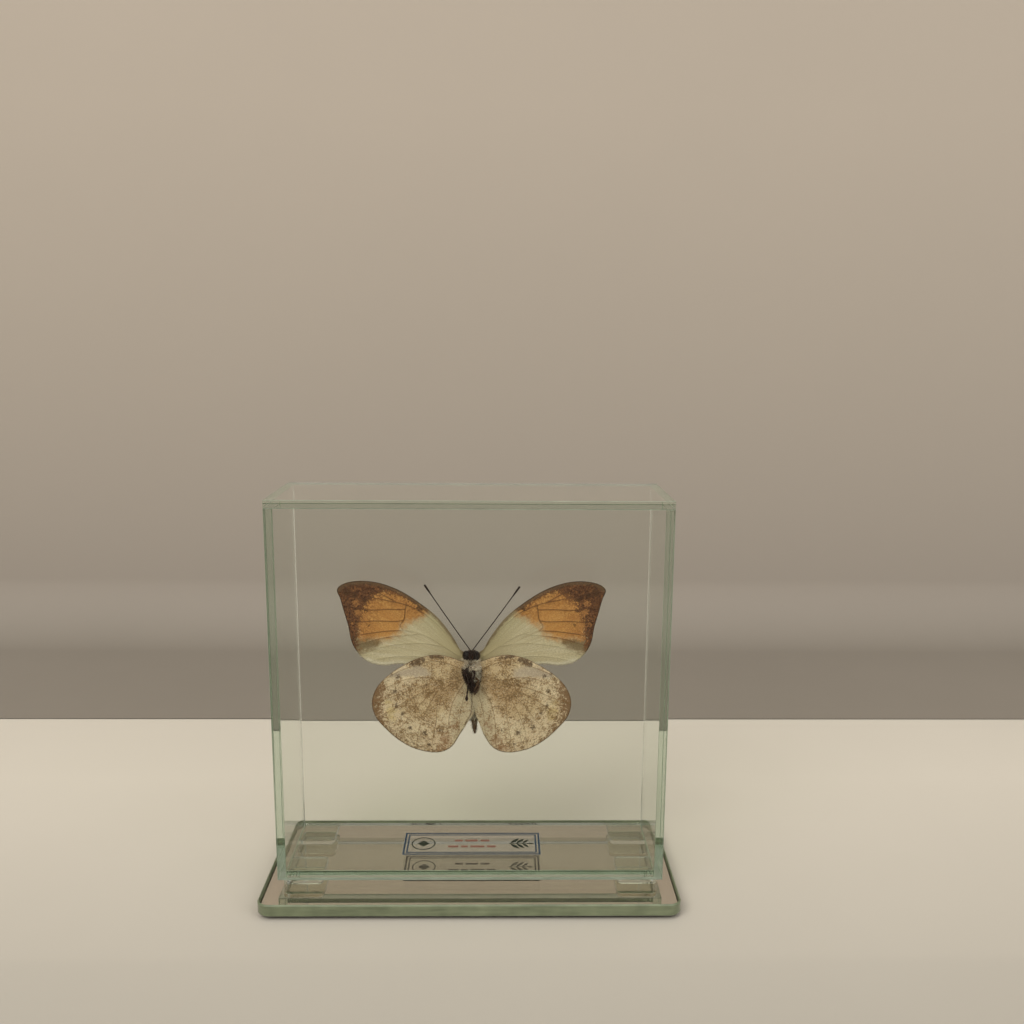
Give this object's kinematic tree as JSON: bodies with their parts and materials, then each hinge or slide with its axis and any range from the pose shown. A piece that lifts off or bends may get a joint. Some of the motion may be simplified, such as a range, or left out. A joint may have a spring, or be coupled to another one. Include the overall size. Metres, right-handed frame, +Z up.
{
  "type": "butterfly specimen in a glass display box",
  "caption": "Spread dried butterfly fixed inside a closed clear glass box that stands on a mirror-glass base.",
  "frame": {"origin": "on the table under the middle of the base, at the bottom of the feet", "axes": "+Z up, +X along the base's long side to the right, -Y towards the viewer of the butterfly's underside"},
  "size_m": [0.131, 0.055, 0.1287],
  "materials": {
    "mirror_glass": "polished",
    "foot_rubber": "matte",
    "clear_pad": "gloss",
    "pane_glass": "polished",
    "label_film": "satin",
    "forewing": "matte",
    "hindwing": "matte",
    "insect_body": "matte",
    "insect_limb": "satin",
    "clear_acrylic": "polished",
    "clear_glue": "gloss"
  },
  "bodies": {
    "root": {"mirror_base": "mirror_glass", "foot_front_left": "foot_rubber", "foot_front_right": "foot_rubber", "foot_back_left": "foot_rubber", "foot_back_right": "foot_rubber", "pad_front_left": "clear_pad", "pad_front_right": "clear_pad", "pad_back_left": "clear_pad", "pad_back_right": "clear_pad", "pane_front": "pane_glass", "pane_back": "pane_glass", "pane_left": "pane_glass", "pane_right": "pane_glass", "pane_bottom": "pane_glass", "pane_top": "pane_glass", "label_film": "label_film", "forewing_left": "forewing", "forewing_right": "forewing", "hindwing_left": "hindwing", "hindwing_right": "hindwing", "butterfly_body": "insect_body", "antenna_left": "insect_limb", "antenna_right": "insect_limb", "leg_hanging": "insect_limb", "support_stem": "clear_acrylic", "glue_dot_thorax": "clear_glue", "glue_dot_pane": "clear_glue"}
  },
  "joints": []
}
